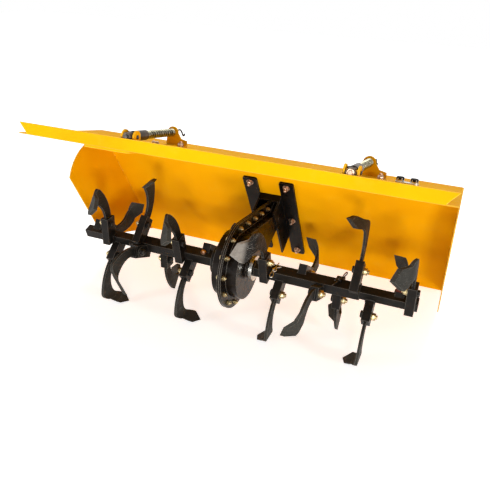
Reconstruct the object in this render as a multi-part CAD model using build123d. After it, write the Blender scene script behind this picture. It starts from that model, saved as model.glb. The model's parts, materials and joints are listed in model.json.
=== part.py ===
"""Centre-driven rotary tiller head: a bent-sheet hood, a chain case at its middle and a bladed rotor.

Millimetres. Everything is drawn in the machine's own frame: X along the rotor, Y to the rear, Z up,
with the rotor's axis as the origin. The last step leans the whole head back until it stands on its
lowest blades and on the rear edge of the hood, and puts the origin on the floor under its middle.
"""
import os
from math import asin, atan2, cos, degrees, hypot, radians, sin, sqrt

from build123d import *

# ---- hood -------------------------------------------------------------------------------------
hood_width = 1200.0          # between the inner faces of the two end plates
sheet = 3.0                  # thickness of the hood sheet and the end plates
lip_y = -268.0               # front face of the stiffening lip
lip_height = 33.0            # lip above the top panel
lip_cut = 27.0               # how far the lip's lower corner stops short of the end plate
top_front_z = 339.0          # underside of the top panel at the lip
fold_y = 131.0               # fold between top panel and back panel
fold_z = 321.0
band_y = 500.0               # fold above the flatter bottom band
band_z = -89.0
edge_y = 526.0               # rear edge of the bottom band
edge_z = -119.0
plate_back = 20.0            # end plate: its front edge leaves the top panel this far before the fold
plate_top_y = 48.0           # upper end of the end plate's arc
plate_top_z = 284.0
plate_nose_y = -37.0         # foremost point of the end plate
plate_nose_z = 177.0
plate_arc = 18.0             # rise of the arc over its chord
plate_toe_y = 162.0          # lowest front corner of the end plate
plate_toe_z = -67.0

# ---- chain case and drive flange --------------------------------------------------------------
case_round = 138.0           # radius of the bolted flange round the rotor
case_end = 60.0              # radius of the flange at the drive end
case_reach_y = 275.0         # centre of the drive end
case_reach_z = 95.0
flange_width = 36.0          # flange outside the raised body
flange_thick = 6.0           # each half's flange
case_half = 40.0             # half width of the round body
case_wall = 7.0
case_stub = 45.0             # length of the round stub at the drive end
case_beyond = 2000.0         # larger than the case, for cutting it
boss_radius = 34.0
boss_end = 46.0              # outer face of the bearing boss
neck_radius = 46.0           # tube that passes through the back panel
neck_gap = 1.0
drive_flange_radius = 80.0
drive_flange_thick = 12.0
drive_standoff = 22.0        # from the back panel to the drive flange
drive_bolt_circle = 64.0     # radius
drive_bolts = 6
drive_bolt_hole = 5.5        # radius, for M10
drive_bore = 15.0            # radius of the input coupling's bore
drive_bore_depth = 30.0      # stays in the part of the neck behind the panel

# ---- mounting bars and box bracket ------------------------------------------------------------
bar_inner = 39.0             # |X| of the bars' inner edges
bar_width = 50.0
bar_thick = 8.0
bar_rise = 153.0             # from the drive end's centre up to the bars' upper ends
bar_length = 419.0
bar_corner = 8.0
bracket_plate = 6.0
bracket_rise = 74.0          # from the drive end's centre up to the cap of the bracket
bracket_length = 235.0
bracket_depth = 80.0
bracket_cap = 26.0           # depth of the cap, which stays clear of the case's flange

# ---- rotor ------------------------------------------------------------------------------------
rotor_half = 548.0           # half length of the rotor
tube_side = 35.0             # inner square tube
tube_wall = 2.8
outer_wall = 3.0             # wall of the extension tube
tube_overlap = 115.0         # length of extension tube inside the inner tube
slip_fit = 0.3               # clearance on each side of a sliding or seated piece
run_fit = 0.05               # clearance round the turning shaft
side_gap = 5.5               # between a boss and the collar that turns beside it
shaft_radius = 17.5
stub_length = 120.0          # square end of the shaft inside the inner tube
tube_turn = 62.0             # direction of the tube's upper face, from the front (-Y) upwards
socket_wide = 25.0           # box holder along the rotor
socket_deep = 40.0           # box holder across the shank
socket_start = -12.0         # along the shank from the point nearest to the rotor's axis
socket_end = 80.0
shank_offset = 23.0          # the shank's middle passes the rotor's axis at this distance
shank_width = 28.0
blade_thick = 8.0
sickle_start = 80.2          # the shank is straight up to here, just past its holder
sickle_radius = 104.0        # of the blade's middle line
sickle_turn = 68.0           # through this angle
sickle_end_width = 64.0      # width of the blade at the bend
bend_skew = 18.0             # the bend runs this much nearer to the circle than the blade's end
bend_angle = 54.0            # of the wing out of the blade's plane
bend_radius = 32.0           # to the middle of the thickness
heel_round = 24.0            # rounds the outline's outer corner at the bend
wing_length = 57.0           # from the bend
wing_shoulder = 0.45         # of that length, where the wing is widest
wing_heel = 8.0              # the wing's leading edge starts this far from the middle
wing_widest = 60.0           # its trailing corner from the middle of the bend
wing_nose = 8.0              # the leading and trailing corners of its cut end
wing_tip = 44.0
wing_cut = 15.0              # how much shorter the leading corner is

# side of the case, collar radius, collar width, outer end of the inner tube as a share of rotor_half
HALVES = {
    "right": (1, 39.0, 10.0, 0.7026),
    "left": (-1, 45.0, 20.0, 0.6427),
}

# direction of the shank from the front (-Y) upwards; the blade sweeps back from it
DOWN = -50.0
FRONT = 12.0
ARCH_LOW = 66.0
ARCH = 72.0
ARCH_HIGH = 78.0
UP = 122.0
REAR = -158.0
LOW = -102.0

# name, X of the shank as a share of rotor_half, direction, side the wing points to
BLADES = [
    ("blade_right_1", 0.186, ARCH_LOW, -1),
    ("blade_right_2", 0.261, DOWN, -1),
    ("blade_right_3", 0.378, REAR, -1),
    ("blade_right_4", 0.489, FRONT, -1),
    ("blade_right_5", 0.580, LOW, -1),
    ("blade_right_6", 0.675, UP, -1),
    ("blade_right_7", 0.761, DOWN, -1),
    ("blade_right_8", 0.901, REAR, -1),
    ("blade_right_9", 0.964, ARCH, -1),
    ("blade_left_1", -0.197, REAR, 1),
    ("blade_left_2", -0.292, DOWN, 1),
    ("blade_left_3", -0.334, ARCH_LOW, 1),
    ("blade_left_4", -0.478, LOW, -1),
    ("blade_left_5", -0.619, UP, 1),
    ("blade_left_6", -0.785, DOWN, 1),
    ("blade_left_7", -0.585, FRONT, 1),
    ("blade_left_8", -0.932, REAR, 1),
    ("blade_left_9", -0.819, ARCH_HIGH, 1),
]

# ---- spring struts on the top panel, measured back from the lip and up from the panel ----------
# side, distance from the hood's end
STRUTS = {
    "right": (1, 248.0),
    "left": (-1, 349.0),
}
pin_back = 28.0
pin_height = 35.0
tower_back = 262.0
tower_height = 41.0          # of the strut's middle line at the tower
lug_gap = 30.0
lug_thick = 5.0
lug_width = 34.0
pin_radius = 6.0
pin_reach = 6.0              # of each pin into the gap between the lugs
foot_thick = 4.0
block_deep = 20.0            # block on the pins, along the rod
block_high = 20.0
rod_radius = 5.5
nut_across = 22.0
nut_thick = 12.0
sleeve_radius = 14.0
sleeve_length = 66.0
sleeve_chamfer = 3.0
spring_radius = 12.0
tower_thick = 5.0
tower_lobe = 18.0            # radius of the tower's round top
shoulder_reach = 50.0        # sideways from the strut's middle line
shoulder_height = 25.0
shoulder_start = 30.0
shoulder_side = 21.0         # height of the shoulder's outer edge
tower_foot_depth = 44.0

# ---- link bar on the top panel ----------------------------------------------------------------
link_from_end = 140.0        # from the hood's end
link_back = 250.0
link_length = 62.0
link_width = 24.0
link_thick = 6.0
link_bolts = 37.0            # between its two bolts
bolt_across = 19.0
bolt_thick = 9.0


def side_face(points):
    """A flat face in the YZ plane from its (y, z) corners."""
    return Plane.YZ * make_face(Polyline(*points, close=True))


def thicken(face, low, high):
    """A face of the YZ plane thickened between two X values."""
    return Pos(low, 0, 0) * extrude(face, high - low, dir=(1, 0, 0))


def folded(line, thickness):
    """Corners of a folded sheet: the line, and the same line moved to its left with mitred folds."""
    moved = []
    for index, (y, z) in enumerate(line):
        before = line[max(index - 1, 0)]
        after = line[min(index + 1, len(line) - 1)]
        normals = []
        for start, end in ((before, (y, z)), ((y, z), after)):
            length = hypot(end[0] - start[0], end[1] - start[1])
            if length > 0:
                normals.append(((start[1] - end[1]) / length, (end[0] - start[0]) / length))
        a, b = normals[0], normals[-1]
        share = thickness / (1 + a[0] * b[0] + a[1] * b[1])
        moved.append((y + (a[0] + b[0]) * share, z + (a[1] + b[1]) * share))
    return line + moved[::-1]


# ---- frames on the two panels -----------------------------------------------------------------
panel_run = hypot(band_y - fold_y, band_z - fold_z)
down_y = (band_y - fold_y) / panel_run
down_z = (band_z - fold_z) / panel_run
panel_distance = -fold_y * down_z + fold_z * down_y
drive_down = case_reach_y * down_y + case_reach_z * down_z
panel_tilt = degrees(atan2(-down_z, down_y))
top_tilt = degrees(atan2(fold_z - top_front_z, fold_y - lip_y))


def on_panel(x, along, out):
    """A place measured down the back panel and outward from its inner face; local Z points outward."""
    return Rot(-panel_tilt, 0, 0) * Pos(x, along, panel_distance + out)


def on_top(x, back, up):
    """A place on the top panel's upper face, measured back from the lip; local Z points up."""
    return Pos(0, lip_y, top_front_z) * Rot(top_tilt, 0, 0) * Pos(x, back, sheet + up)


# ---- hood -------------------------------------------------------------------------------------
HOOD_LINE = [
    (lip_y, top_front_z + lip_height),
    (lip_y, top_front_z),
    (fold_y, fold_z),
    (band_y, band_z),
    (edge_y, edge_z),
]


def hood_sheet():
    half = hood_width / 2
    body = thicken(side_face(folded(HOOD_LINE, sheet)), -half, half)
    foot = top_front_z + sheet
    top = top_front_z + lip_height + 1
    for side in (-1, 1):
        corner = Polyline(
            (side * (half - lip_cut), foot), (side * (half + 1), foot), (side * (half + 1), top),
            (side * half, top), close=True,
        )
        cutter = Pos(0, lip_y + sheet + 1, 0) * extrude(Plane.XZ * make_face(corner), sheet + 2)
        body -= cutter
    body -= on_panel(0, drive_down, -1) * extrude(Circle(neck_radius + neck_gap), sheet + 2)
    return body


def end_plate(side):
    outer = folded(HOOD_LINE[2:], sheet)[3:]
    front = (fold_y - plate_back, fold_z + sheet - plate_back * (fold_z - top_front_z) / (fold_y - lip_y))
    chord = hypot(plate_top_y - plate_nose_y, plate_top_z - plate_nose_z)
    middle = (
        (plate_top_y + plate_nose_y) / 2 - plate_arc * (plate_top_z - plate_nose_z) / chord,
        (plate_top_z + plate_nose_z) / 2 + plate_arc * (plate_top_y - plate_nose_y) / chord,
    )
    straight = Polyline(
        (plate_nose_y, plate_nose_z), (plate_toe_y, plate_toe_z), (edge_y, edge_z), *outer, front,
        (plate_top_y, plate_top_z),
    )
    arc = ThreePointArc((plate_top_y, plate_top_z), middle, (plate_nose_y, plate_nose_z))
    low = hood_width / 2 if side > 0 else -hood_width / 2 - sheet
    return thicken(Plane.YZ * make_face(Wire([*straight.edges(), *arc.edges()])), low, low + sheet)


def mounting_bar(side):
    outline = RectangleRounded(bar_width, bar_length, bar_corner)
    middle = drive_down - bar_rise + bar_length / 2
    return on_panel(side * (bar_inner + bar_width / 2), middle, -bar_thick) * extrude(outline, bar_thick)


def case_bracket():
    top = drive_down - bracket_rise
    middle = top + bracket_length / 2
    body = on_panel(0, top + bracket_plate / 2, -bracket_cap / 2) * Box(
        2 * bar_inner, bracket_plate, bracket_cap)
    for side in (-1, 1):
        x = side * (bar_inner - bracket_plate / 2)
        body += on_panel(x, middle, -bracket_depth / 2) * Box(bracket_plate, bracket_length, bracket_depth)
    return body


# ---- chain case -------------------------------------------------------------------------------
def capsule(rotor_radius, drive_radius):
    """The YZ outline that wraps a circle on the rotor's axis and one at the drive end."""
    arm_angle = degrees(atan2(case_reach_z, case_reach_y))
    spread = degrees(asin((rotor_radius - drive_radius) / hypot(case_reach_y, case_reach_z)))
    corners = []
    for turn, radius, y, z in (
        (arm_angle + 90 - spread, rotor_radius, 0, 0),
        (arm_angle + 90 - spread, drive_radius, case_reach_y, case_reach_z),
        (arm_angle - 90 + spread, drive_radius, case_reach_y, case_reach_z),
        (arm_angle - 90 + spread, rotor_radius, 0, 0),
    ):
        corners.append((y + radius * cos(radians(turn)), z + radius * sin(radians(turn))))
    arm = make_face(Polyline(*corners, close=True))
    return Plane.YZ * (arm + Circle(rotor_radius) + Pos(case_reach_y, case_reach_z) * Circle(drive_radius))


def chain_case(side):
    """One cast half: flange, raised body, bearing boss and half of the stub at the drive end."""
    arm_half = bar_inner - bracket_plate - slip_fit
    body_round = case_round - flange_width
    body_end = case_end - flange_width
    outside = case_half + boss_end

    def part(face, depth):
        return thicken(face, 0, depth) if side > 0 else thicken(face, -depth, 0)

    stub = on_panel(0, drive_down, -case_stub) * extrude(Circle(arm_half), case_stub)
    half_space = Pos(side * outside / 2, 0, 0) * Box(outside, case_beyond, case_beyond)
    body = part(capsule(case_round, case_end), flange_thick)
    body += part(capsule(body_round, body_end), arm_half)
    body += part(Plane.YZ * Circle(body_round), case_half)
    body += part(Plane.YZ * Circle(boss_radius), boss_end)
    body += stub & half_space
    body -= part(capsule(body_round - case_wall, body_end - case_wall), arm_half - case_wall)
    body -= part(Plane.YZ * Circle(shaft_radius + run_fit), boss_end + 1)
    behind = on_panel(0, 0, 0) * extrude(Rectangle(case_beyond, case_beyond), case_end)
    return body - behind


def drive_neck():
    """Neck through the back panel with the round flange that the machine's gearbox bolts to."""
    outer = sheet + drive_standoff
    body = on_panel(0, drive_down, 0) * extrude(Circle(neck_radius), outer)
    body += on_panel(0, drive_down, outer) * extrude(Circle(drive_flange_radius), drive_flange_thick)
    mouth = outer + drive_flange_thick - drive_bore_depth
    body -= on_panel(0, drive_down, mouth) * extrude(Circle(drive_bore), drive_bore_depth + 1)
    for index in range(drive_bolts):
        hole = Rot(0, 0, 360 * index / drive_bolts) * Pos(drive_bolt_circle, 0, 0) * Circle(drive_bolt_hole)
        body -= on_panel(0, drive_down, outer - 1) * extrude(hole, drive_flange_thick + 2)
    return body


# ---- rotor ------------------------------------------------------------------------------------
outer_side = tube_side - 2 * tube_wall - 2 * slip_fit


def collar_start():
    return boss_end + side_gap


def tube_start(half):
    side, radius, width, inner_share = HALVES[half]
    return collar_start() + width


def on_rotor(x, turn):
    """A frame on the rotor's axis; local Z points in the given direction from the front upwards."""
    return Pos(x, 0, 0) * Rot(90 - turn, 0, 0)


def rotor_shaft():
    """Round shaft through the case with square ends that carry the tubes."""
    left = tube_start("left")
    right = tube_start("right")
    body = Pos((right - left) / 2, 0, 0) * Rot(0, 90, 0) * Cylinder(shaft_radius, left + right)
    for side, start in ((1, right), (-1, left)):
        stub = Box(stub_length, outer_side, outer_side)
        body += on_rotor(side * (start + stub_length / 2), tube_turn) * stub
    return body


def shaft_collar(half):
    side, radius, width, inner_share = HALVES[half]
    ring = Circle(radius) - Circle(shaft_radius + slip_fit)
    start = collar_start() if side > 0 else -collar_start() - width
    return thicken(Plane.YZ * ring, start, start + width)


def tube_bar(start, end, across):
    """A square bar along the rotor between two X values, turned as the tubes are."""
    return on_rotor((start + end) / 2, tube_turn) * Box(end - start, across, across)


def blade_holder(x, turn):
    """Box welded beside the tube, with the slot that takes a blade's shank."""
    length = socket_end - socket_start
    middle = (socket_end + socket_start) / 2
    return on_rotor(x, turn) * Pos(0, -shank_offset, middle) * Box(socket_wide, socket_deep, length)


def holder_slot(x, turn):
    slot = Box(blade_thick + 2 * slip_fit, shank_width + 2 * slip_fit, socket_end)
    return on_rotor(x, turn) * Pos(0, -shank_offset, shank_seat - slip_fit + socket_end / 2) * slot


def tube_with_holders(side, start, end, across, wall, first, last):
    """A square tube with the holders of the blades whose |X| lies between first and last."""
    low = min(side * start, side * end)
    high = max(side * start, side * end)
    body = tube_bar(low, high, across)
    places = [(rotor_half * share, turn) for name, share, turn, wing in BLADES]
    seats = [(x, turn) for x, turn in places if x * side > 0 and first < abs(x) < last]
    for x, turn in seats:
        body += blade_holder(x, turn)
    body -= tube_bar(low - 1, high + 1, across - 2 * wall)
    for x, turn in seats:
        body -= holder_slot(x, turn)
    return body


def inner_tube(half):
    side, radius, width, inner_share = HALVES[half]
    inner_end = rotor_half * inner_share
    return tube_with_holders(side, tube_start(half), inner_end, tube_side, tube_wall, 0, inner_end)


def outer_tube(half):
    side, radius, width, inner_share = HALVES[half]
    inner_end = rotor_half * inner_share
    start = inner_end - tube_overlap
    return tube_with_holders(side, start, rotor_half, outer_side, outer_wall, inner_end, rotor_half)


# ---- blades -----------------------------------------------------------------------------------
shank_seat = tube_side / sqrt(2) + slip_fit
end_turn = radians(sickle_turn - bend_skew)
end_across = shank_offset + sickle_radius * (1 - cos(radians(sickle_turn)))
end_along = sickle_start + sickle_radius * sin(radians(sickle_turn))


def at_end(ahead, aside):
    """(across, along) of a point given from the blade's end: ahead of the bend and along it."""
    across = end_across + ahead * sin(end_turn) + aside * cos(end_turn)
    along = end_along + ahead * cos(end_turn) - aside * sin(end_turn)
    return across, along


def sickle_edge(share, side):
    """(across, along) on one edge of the sickle, a share of its turn on from the straight shank."""
    turn = radians(sickle_turn * share)
    lean = turn - radians(bend_skew) * share ** 2
    half = side * (shank_width + (sickle_end_width - shank_width) * share ** 2) / 2
    across = shank_offset + sickle_radius * (1 - cos(turn)) + half * cos(lean)
    along = sickle_start + sickle_radius * sin(turn) - half * sin(lean)
    return across, along


wing_ahead = wing_length * cos(radians(bend_angle))
WING_EDGE = [
    at_end(wing_ahead * wing_shoulder * wing_shoulder, -wing_heel),
    at_end(wing_ahead * (1 - wing_cut / wing_length), wing_nose),
    at_end(wing_ahead, wing_tip),
    at_end(wing_ahead * wing_shoulder, wing_widest),
]


def curved_blade():
    """One blade with its shank along +Z, swept to -Y, its wing bent towards +X.

    The outline seen along the rotor cuts it out of a bent strip.
    """
    half = shank_width / 2

    def corner(point):
        return (-point[0], point[1])

    outer = [corner(sickle_edge(share, -1)) for share in (0, 0.5, 1)]
    inner = [corner(sickle_edge(share, 1)) for share in (1, 0.5, 0)]
    outline = Plane.YZ * make_face(Wire([
        *Polyline(inner[2], (-shank_offset - half, shank_seat), (half - shank_offset, shank_seat),
                  outer[0]).edges(),
        *ThreePointArc(*outer).edges(),
        *Polyline(outer[2], *[corner(point) for point in WING_EDGE], inner[0]).edges(),
        *ThreePointArc(*inner).edges(),
    ]))
    heel = outline.vertices().sort_by_distance((0, *outer[2]))[0]
    outline = fillet(heel, heel_round)
    reach = end_along + sickle_radius
    line = FilletPolyline(
        (-reach, 0), (0, 0),
        (wing_length * cos(radians(bend_angle)) * 2, wing_length * sin(radians(bend_angle)) * 2),
        radius=bend_radius,
    )
    strip = extrude(trace(line, line_width=blade_thick), 2 * reach, both=True)
    ahead = (0, -sin(end_turn), cos(end_turn))
    along = (0, cos(end_turn), sin(end_turn))
    bend = Plane(origin=(0, -end_across, end_along), x_dir=ahead, z_dir=along)
    return extrude(outline, reach, dir=(1, 0, 0), both=True) & (bend * strip)


def placed_blade(x, turn, wing):
    shape = curved_blade()
    if wing < 0:
        shape = mirror(shape, about=Plane.YZ)
    return on_rotor(x, turn) * shape


# ---- spring struts ----------------------------------------------------------------------------
strut_tilt = degrees(atan2(tower_height - pin_height, tower_back - pin_back))
strut_run = hypot(tower_height - pin_height, tower_back - pin_back)


def strut_x(half):
    side, from_end = STRUTS[half]
    return side * (hood_width / 2 - from_end)


def on_strut(half, along):
    """A place on a strut's middle line, behind its pins; local Z points to the rear."""
    pins = on_top(strut_x(half), pin_back, pin_height)
    return pins * Rot(strut_tilt, 0, 0) * Pos(0, along, 0) * Rot(-90, 0, 0)


def strut_clevis(half):
    """Two round-topped lugs on a foot plate, with a pin from each into the gap."""
    x = strut_x(half)
    body = on_top(x, pin_back, foot_thick / 2) * Box(lug_gap + 2 * lug_thick, lug_width, foot_thick)
    profile = Rectangle(lug_width, pin_height, align=(Align.CENTER, Align.MIN))
    profile += Pos(0, pin_height) * Circle(lug_width / 2)
    for edge in (-1, 1):
        lug = extrude(Plane.YZ * profile, lug_thick, dir=(1, 0, 0))
        pin = Rot(0, 90, 0) * Cylinder(pin_radius, pin_reach)
        body += on_top(x + edge * (lug_gap + lug_thick) / 2 - lug_thick / 2, pin_back, 0) * lug
        body += on_top(x + edge * (lug_gap - pin_reach) / 2, pin_back, pin_height) * pin
    return body


def strut_rod(half):
    """Rod with its block between the pins, its nut in front and the sleeve behind."""
    block = lug_gap - 2 * pin_reach - 2 * slip_fit
    rod_length = strut_run - slip_fit
    body = on_strut(half, 0) * Box(block, block_high, block_deep)
    body += on_strut(half, 0) * extrude(Circle(rod_radius), rod_length)
    nut = RegularPolygon(nut_across / 2, 6, major_radius=False)
    body += on_strut(half, -block_deep / 2 - nut_thick) * extrude(nut, nut_thick)
    sleeve = extrude(Circle(sleeve_radius), sleeve_length)
    sleeve = chamfer(sleeve.edges().group_by(Axis.Z)[-1], sleeve_chamfer)
    body += on_strut(half, block_deep / 2) * sleeve
    return body


def strut_spring(half):
    start = block_deep / 2 + sleeve_length + slip_fit
    ring = Circle(spring_radius) - Circle(rod_radius + slip_fit)
    return on_strut(half, start) * extrude(ring, strut_run - slip_fit - start)


def strut_tower(half):
    """Plate behind the spring with a round top and a lower shoulder, on a bolted foot."""
    x = strut_x(half)
    profile = Rectangle(2 * tower_lobe, tower_height, align=(Align.CENTER, Align.MIN))
    profile += Pos(0, tower_height) * Circle(tower_lobe)
    profile += make_face(Polyline(
        (0, 0), (shoulder_reach, 0), (shoulder_reach, shoulder_side),
        (shoulder_start, shoulder_height), (tower_lobe, tower_height), (0, tower_height), close=True))
    body = on_top(x, tower_back + tower_thick, 0) * extrude(Plane.XZ * profile, tower_thick)
    width = tower_lobe + shoulder_reach
    middle = x + (shoulder_reach - tower_lobe) / 2
    foot = Box(width, tower_foot_depth, foot_thick)
    body += on_top(middle, tower_back + tower_thick - tower_foot_depth / 2, foot_thick / 2) * foot
    return body


def link_bar():
    """Zinc-plated bar with two bolts that a machine's lifting link takes hold of."""
    link_x = hood_width / 2 - link_from_end
    body = on_top(link_x, link_back, 0) * extrude(SlotOverall(link_length, link_width), link_thick)
    for side in (-1, 1):
        head = extrude(RegularPolygon(bolt_across / 2, 6, major_radius=False), bolt_thick)
        body += on_top(link_x + side * link_bolts / 2, link_back, link_thick) * head
    return body


# ---- parking ----------------------------------------------------------------------------------
stand_turn = radians(90 - DOWN)
stand_across, stand_along = at_end(wing_ahead, wing_tip)
stand_y = -stand_across * cos(stand_turn) - stand_along * sin(stand_turn)
stand_z = -stand_across * sin(stand_turn) + stand_along * cos(stand_turn)
parked_lean = degrees(atan2(edge_z - stand_z, edge_y - stand_y))
parked_height = stand_y * sin(radians(parked_lean)) - stand_z * cos(radians(parked_lean))

pieces = {
    "hood_sheet": hood_sheet(),
    "case_bracket": case_bracket(),
    "drive_neck": drive_neck(),
    "rotor_shaft": rotor_shaft(),
    "link_bar": link_bar(),
}
for half, side in (("left", -1), ("right", 1)):
    pieces["end_plate_" + half] = end_plate(side)
    pieces["mounting_bar_" + half] = mounting_bar(side)
    pieces["chain_case_" + half] = chain_case(side)
    pieces["shaft_collar_" + half] = shaft_collar(half)
    pieces["inner_tube_" + half] = inner_tube(half)
    pieces["outer_tube_" + half] = outer_tube(half)
    pieces["strut_clevis_" + half] = strut_clevis(half)
    pieces["strut_rod_" + half] = strut_rod(half)
    pieces["strut_spring_" + half] = strut_spring(half)
    pieces["strut_tower_" + half] = strut_tower(half)
for name, share, turn, wing in BLADES:
    pieces[name] = placed_blade(rotor_half * share, turn, wing)

parked = {name: Pos(0, 0, parked_height) * Rot(-parked_lean, 0, 0) * shape for name, shape in pieces.items()}
outline = Compound(children=[Compound(shape.solids()) for shape in parked.values()]).bounding_box()
middle_y = (outline.min.Y + outline.max.Y) / 2

os.makedirs("parts", exist_ok=True)
for name, shape in parked.items():
    export_step(Pos(0, -middle_y, 0) * shape, "parts/" + name + ".step")
print("lean", parked_lean, "rotor axis Y", -middle_y, "Z", parked_height)
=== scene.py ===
# Looks of the rotary tiller head: finishes, fasteners, springs, clips, welds, floor, light and camera.
import json

import bpy
import numpy as np
from mathutils import Matrix


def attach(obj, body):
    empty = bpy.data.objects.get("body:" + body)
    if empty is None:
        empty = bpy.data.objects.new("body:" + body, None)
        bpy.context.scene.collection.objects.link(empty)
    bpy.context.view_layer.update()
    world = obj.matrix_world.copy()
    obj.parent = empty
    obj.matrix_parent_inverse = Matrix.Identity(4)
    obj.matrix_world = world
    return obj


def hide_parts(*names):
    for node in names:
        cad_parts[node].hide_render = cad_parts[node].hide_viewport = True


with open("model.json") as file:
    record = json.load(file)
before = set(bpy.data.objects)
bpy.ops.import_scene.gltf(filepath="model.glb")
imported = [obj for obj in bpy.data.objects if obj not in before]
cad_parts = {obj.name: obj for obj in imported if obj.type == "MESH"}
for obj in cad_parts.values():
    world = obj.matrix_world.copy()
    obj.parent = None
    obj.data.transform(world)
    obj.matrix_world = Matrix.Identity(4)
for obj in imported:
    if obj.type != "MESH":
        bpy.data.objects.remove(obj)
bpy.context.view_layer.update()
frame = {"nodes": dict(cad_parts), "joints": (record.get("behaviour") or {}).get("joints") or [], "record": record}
nodes = frame["nodes"]

# ---- the machine's own sizes ------------------------------------------------------------------------
# in millimetres: X along the rotor, Y to the rear, Z up, and the rotor's axis at the origin
LEAN = 10.64067709                          # the head leans back by this angle where it stands
LIP_Y, LIP_FOOT = -268.0, 339.0             # the hood sheet's folds, as (Y, Z) of its inner face
FOLD_Y, FOLD_Z = 131.0, 321.0
BAND_Y, BAND_Z = 500.0, -89.0
HOOD_HALF, SHEET = 600.0, 3.0
CASE_ROUND, CASE_END, CASE_Y, CASE_Z = 138.0, 60.0, 275.0, 95.0
FLANGE_THICK = 6.0
BAR_MIDDLE, BAR_THICK, BAR_RISE, BAR_LENGTH = 64.0, 8.0, 153.0, 419.0
TUBE_SIDE, TUBE_TURN = 35.0, 62.0
SHANK_OFFSET, SOCKET_WIDE, SOCKET_DEEP = 23.0, 25.0, 40.0
SOCKET_START, SOCKET_END = -12.0, 80.0
STRUTS = {"right": 352.0, "left": -251.0}
PIN_BACK, PIN_HEIGHT, TOWER_BACK, TOWER_HEIGHT = 28.0, 35.0, 262.0, 41.0
LUG_GAP, LUG_THICK = 30.0, 5.0
LINK_MIDDLE, LINK_BACK, LINK_TOP, LINK_BOLT = 460.0, 250.0, 15.0, 18.5

# directions in degrees from the front upwards
DOWN, FRONT, UP, REAR, LOW = -50.0, 12.0, 122.0, -158.0, -102.0
ARCH_LOW, ARCH, ARCH_HIGH = 66.0, 72.0, 78.0

# blade, X of its shank as a share of the rotor's half length, direction of its shank
ROTOR_HALF = 548.0
BLADES = [
    ("right_1", 0.186, ARCH_LOW), ("right_2", 0.261, DOWN), ("right_3", 0.378, REAR),
    ("right_4", 0.489, FRONT), ("right_5", 0.580, LOW), ("right_6", 0.675, UP),
    ("right_7", 0.761, DOWN), ("right_8", 0.901, REAR), ("right_9", 0.964, ARCH),
    ("left_1", -0.197, REAR), ("left_2", -0.292, DOWN), ("left_3", -0.334, ARCH_LOW),
    ("left_4", -0.478, LOW), ("left_5", -0.619, UP), ("left_6", -0.785, DOWN),
    ("left_7", -0.585, FRONT), ("left_8", -0.932, REAR), ("left_9", -0.819, ARCH_HIGH),
]
BLADE_X = {name: ROTOR_HALF * share for name, share, _ in BLADES}


# ---- places ----------------------------------------------------------------------------------------
def shift(x, y, z):
    """A move along X, Y and Z."""
    m = np.eye(4)
    m[:3, 3] = (x, y, z)
    return m


def turn_about(axis, degrees):
    """A rotation about X, Y or Z; positive turns run from the next axis to the one after."""
    a = np.radians(degrees)
    i, j = (axis + 1) % 3, (axis + 2) % 3
    m = np.eye(4)
    m[i, i] = m[j, j] = np.cos(a)
    m[i, j], m[j, i] = -np.sin(a), np.sin(a)
    return m


axis_place = np.array(frame["joints"][0]["pos_m"]) * 1000
MACHINE = shift(*axis_place) @ turn_about(0, -LEAN)
down_panel = np.array([BAND_Y - FOLD_Y, BAND_Z - FOLD_Z]) / np.hypot(BAND_Y - FOLD_Y, BAND_Z - FOLD_Z)
PANEL_TILT = np.degrees(np.arctan2(-down_panel[1], down_panel[0]))
PANEL_AWAY = -FOLD_Y * down_panel[1] + FOLD_Z * down_panel[0]
DRIVE_DOWN = CASE_Y * down_panel[0] + CASE_Z * down_panel[1]
TOP_TILT = np.degrees(np.arctan2(FOLD_Z - LIP_FOOT, FOLD_Y - LIP_Y))
STRUT_TILT = np.degrees(np.arctan2(TOWER_HEIGHT - PIN_HEIGHT, TOWER_BACK - PIN_BACK))
STRUT_RUN = np.hypot(TOWER_HEIGHT - PIN_HEIGHT, TOWER_BACK - PIN_BACK)


def on_panel(x, along, out):
    """Down the back panel and outward from its inner face; local Z points outward."""
    return MACHINE @ turn_about(0, -PANEL_TILT) @ shift(x, along, PANEL_AWAY + out)


def on_top(x, back, up):
    """Back from the lip and up from the top panel's upper face."""
    return MACHINE @ shift(0, LIP_Y, LIP_FOOT) @ turn_about(0, TOP_TILT) @ shift(x, back, SHEET + up)


def on_rotor(x, direction):
    """On the rotor's axis; local Z points in the given direction from the front upwards."""
    return MACHINE @ shift(x, 0, 0) @ turn_about(0, 90 - direction)


def on_strut(half, along):
    """On a strut's middle line, behind its pins; local Z points to the rear."""
    pins = on_top(STRUTS[half], PIN_BACK, PIN_HEIGHT) @ turn_about(0, STRUT_TILT)
    return pins @ shift(0, along, 0) @ turn_about(0, -90)


def facing(side):
    """Turns local Z to point to +X or -X."""
    return turn_about(1, 90 * side)


# ---- surfaces --------------------------------------------------------------------------------------
def skin(rings):
    """Quads from each closed ring of a (ring, point, xyz) array to the next, and flat caps on the end rings."""
    index = np.arange(rings.shape[0] * rings.shape[1]).reshape(rings.shape[:2])
    after = np.roll(index, -1, axis=1)
    quads = np.stack([index[:-1], after[:-1], after[1:], index[1:]], -1).reshape(-1, 4).tolist()
    return rings.reshape(-1, 3), quads + [index[0, ::-1].tolist(), index[-1].tolist()]


def placed(patch, place):
    """A patch carried to a place."""
    points, faces = patch
    return points @ place[:3, :3].T + place[:3, 3], faces


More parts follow.
